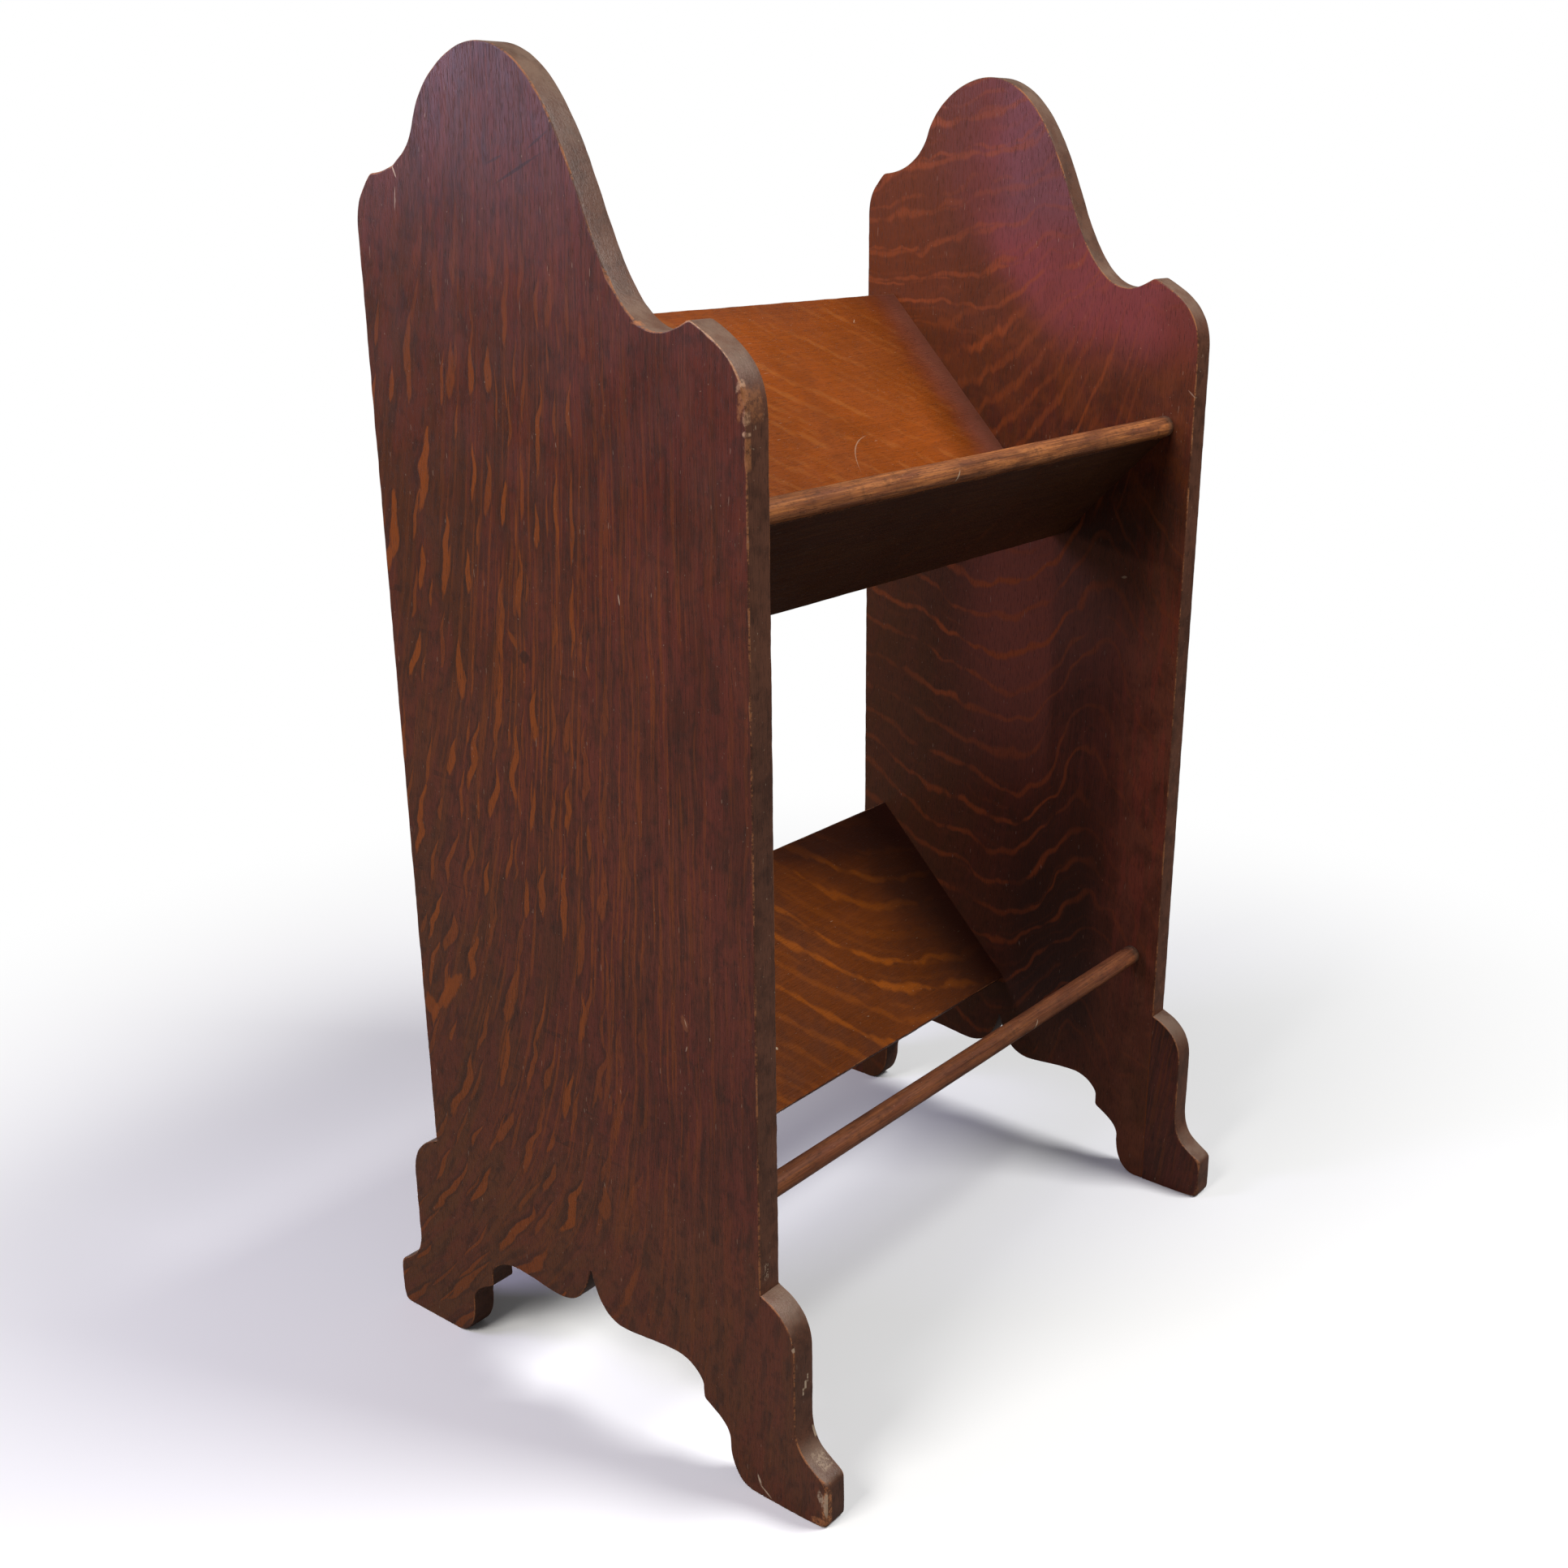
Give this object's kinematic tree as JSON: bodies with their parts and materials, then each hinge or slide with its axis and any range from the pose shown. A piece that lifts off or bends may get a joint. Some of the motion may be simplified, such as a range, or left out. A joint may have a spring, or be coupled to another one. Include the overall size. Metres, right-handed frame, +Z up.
{
  "type": "book trough",
  "caption": "Free-standing wooden book trough: V-shaped upper trough and slanted lower shelf with round rails between two shaped end panels on spreading feet.",
  "frame": {"origin": "on the floor, under the middle of the footprint", "axes": "+X along the trough, from the left end panel to the right; +Y from the front, where the rails are, to the back; +Z up"},
  "size_m": [0.53, 0.429, 0.914],
  "materials": {
    "panel_oak": "satin",
    "ear_oak": "satin",
    "back_board_oak": "satin",
    "front_board_oak": "satin",
    "shelf_oak": "satin",
    "rail_oak": "satin"
  },
  "bodies": {
    "root": {"end_panel_left": "panel_oak", "end_panel_right": "panel_oak", "foot_ear_left_front": "ear_oak", "foot_ear_left_back": "ear_oak", "foot_ear_right_front": "ear_oak", "foot_ear_right_back": "ear_oak", "upper_back_board": "back_board_oak", "upper_front_board": "front_board_oak", "lower_back_board": "shelf_oak", "upper_rail": "rail_oak", "lower_rail": "rail_oak"}
  },
  "joints": []
}
